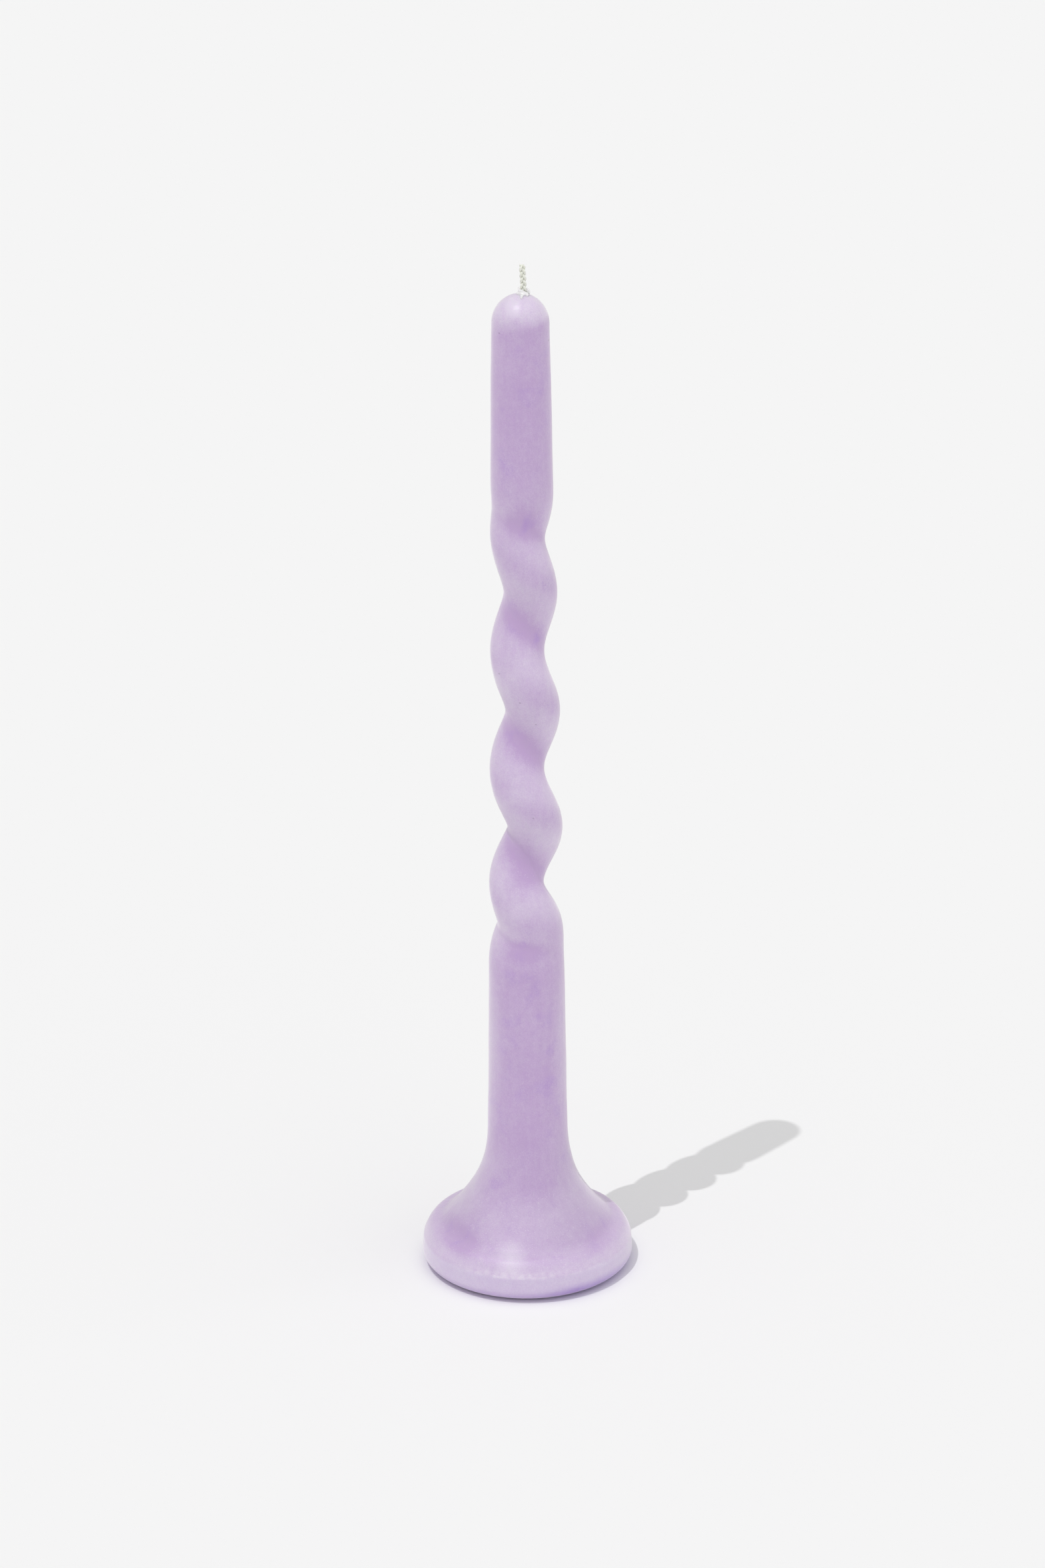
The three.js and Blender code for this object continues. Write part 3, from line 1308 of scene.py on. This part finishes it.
    def build(self) -> Object:
        """Makes the clear wax.

        Returns:
            The finished wax, dressed and riding on the candle.
        """
        piece = joined([self.clinging(), self.curl()], "clear_wax_at_wick")
        bpy.ops.object.shade_smooth()
        return dress(piece, ClearWax().build(), "wax_collar")


@dataclass(frozen=True)
class SunLamp:
    """A lamp so far away that it lights the whole studio evenly."""

    name: str
    level: float
    elevation: float
    direction: float
    width: float
    hung_at: float = 3.0

    def hang(self) -> Object:
        """Hangs the lamp so that it lights the floor to its level and throws shadows in its direction.

        Returns:
            The lamp.
        """
        deselect()
        bpy.ops.object.light_add(type="SUN", location=(0.0, 0.0, self.hung_at))
        lamp = bpy.context.object
        lamp.name = self.name
        lamp.data.energy = math.pi * self.level / math.sin(self.elevation)
        lamp.data.angle = self.width
        across = math.cos(self.elevation)
        travel = Vector((across * math.cos(self.direction), across * math.sin(self.direction), 0.0))
        travel.z = -math.sin(self.elevation)
        lamp.rotation_euler = travel.to_track_quat("-Z", "Y").to_euler()
        return lamp


@dataclass(frozen=True)
class Studio:
    """Pale floor, soft light and the camera at the photograph's place."""

    floor_size: float = 14.0
    floor_grey: float = 0.913
    # The floor is paler in a ring round the foot: painted light that cancels the shade gathering there.
    floor_by_foot: Colour = (0.935, 0.944, 0.93, 1.0)
    by_foot: Span = (42.0, 28.0)
    sky_level: float = 0.52
    lamps: tuple[SunLamp, ...] = (
        SunLamp("key_light", 0.27, math.radians(67.8), math.radians(47.8), math.radians(0.4)),
        SunLamp("soft_overhead", 0.14, math.radians(80.0), math.radians(60.0), math.radians(80.0)),
        SunLamp("soft_fill", 0.07, math.radians(35.0), math.radians(150.0), math.radians(80.0)),
    )
    picture_height: float = 2352.0
    focal_pixels: float = 6500.0
    pixel: float = 0.184 * MM
    target_height: float = 145.2 * MM
    elevation: float = math.radians(20.5)
    roll: float = 0.008
    aside_pixels: float = 3.2
    sensor_height: float = 36.0
    sight: Span = (0.05, 40.0)

    def lay_floor(self) -> Object:
        """Lays the floor.

        Returns:
            The floor.
        """
        deselect()
        bpy.ops.mesh.primitive_plane_add(size=self.floor_size, location=(0.0, 0.0, 0.0))
        floor = bpy.context.object
        floor.name = "studio_floor"
        grey = (self.floor_grey, self.floor_grey, self.floor_grey, 1.0)
        shader = Shader(bpy.data.materials.new("studio_floor"))
        # Painted light: the floor is paler near the foot, which takes away the shade round it.
        by_foot = shader.length(shader.millimetres()).ramp(*self.by_foot)
        colour = shader.blend(by_foot, grey, self.floor_by_foot)
        sockets = {"Base Color": colour, "Roughness": 1.0, "Specular IOR Level": 0.0}
        floor.data.materials.append(shader.finish(sockets))
        return floor

    def light(self) -> None:
        """Lights the room with an even sky, which itself looks as pale as the floor, and the lamps."""
        world = bpy.data.worlds.new("studio_sky")
        bpy.context.scene.world = world
        sky = Shader(world)
        rays = sky.node("ShaderNodeLightPath", {}, {})
        seen = [Value(sky, rays.outputs[f"Is {kind} Ray"]) for kind in ("Camera", "Glossy", "Transmission")]
        seen_at_all = (seen[0] + seen[1] + seen[2]).clipped()
        strength = self.sky_level + seen_at_all * (self.floor_grey - self.sky_level)
        backdrop = sky.out("ShaderNodeBackground", {}, {"Color": (1.0, 1.0, 1.0, 1.0), "Strength": strength})
        sky.node("ShaderNodeOutputWorld", {}, {"Surface": backdrop})
        for lamp in self.lamps:
            lamp.hang()

    def place_camera(self) -> Object:
        """Places the camera, which looks down on the front of the candle.

        Returns:
            The camera.
        """
        data = bpy.data.cameras.new("photograph_camera")
        data.sensor_fit = "VERTICAL"
        data.sensor_height = self.sensor_height
        data.lens = self.focal_pixels / self.picture_height * self.sensor_height
        data.clip_start, data.clip_end = self.sight
        camera = bpy.data.objects.new("photograph_camera", data)
        bpy.context.scene.collection.objects.link(camera)
        distance = self.focal_pixels * self.pixel
        target = Vector((-self.aside_pixels * self.pixel, 0.0, self.target_height))
        away = Vector((0.0, -math.cos(self.elevation), math.sin(self.elevation)))
        look = (-away).to_track_quat("-Z", "Y").to_matrix().to_4x4()
        roll = Matrix.Rotation(-self.roll, 4, "Z")
        camera.matrix_world = Matrix.Translation(target + away * distance) @ look @ roll
        bpy.context.scene.camera = camera
        return camera


def report(piece: Object) -> None:
    """Logs a finished piece.

    Args:
        piece: The piece.
    """
    piece.data.calc_loop_triangles()
    size = [round(side / MM, 2) for side in piece.dimensions]
    log.info("%s: %d triangles, %s mm", piece.name, len(piece.data.loop_triangles), size)


def main() -> None:
    """Builds the candle and the studio, and keeps the sizes."""
    logging.basicConfig(level=logging.INFO, format="%(name)s: %(message)s")
    low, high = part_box("wax_body")
    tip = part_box("wick")[1].z / MM
    body_height = high.z / MM
    foot_radius = (high.x - low.x) / 2.0 / MM

    studio = Studio()
    studio.place_camera()
    studio.lay_floor()
    studio.light()

    casting = WaxCasting(body_height=body_height, foot_radius=foot_radius - FOOT_MARGIN)
    wick = PlaitedWick(crown=body_height, tip=tip)
    clear_wax = ClearWaxAtWick(crown=body_height)
    for part in (casting, wick, clear_wax):
        report(part.build())

    bpy.context.scene.view_settings.view_transform = "Standard"


if __name__ == "__main__":
    main()
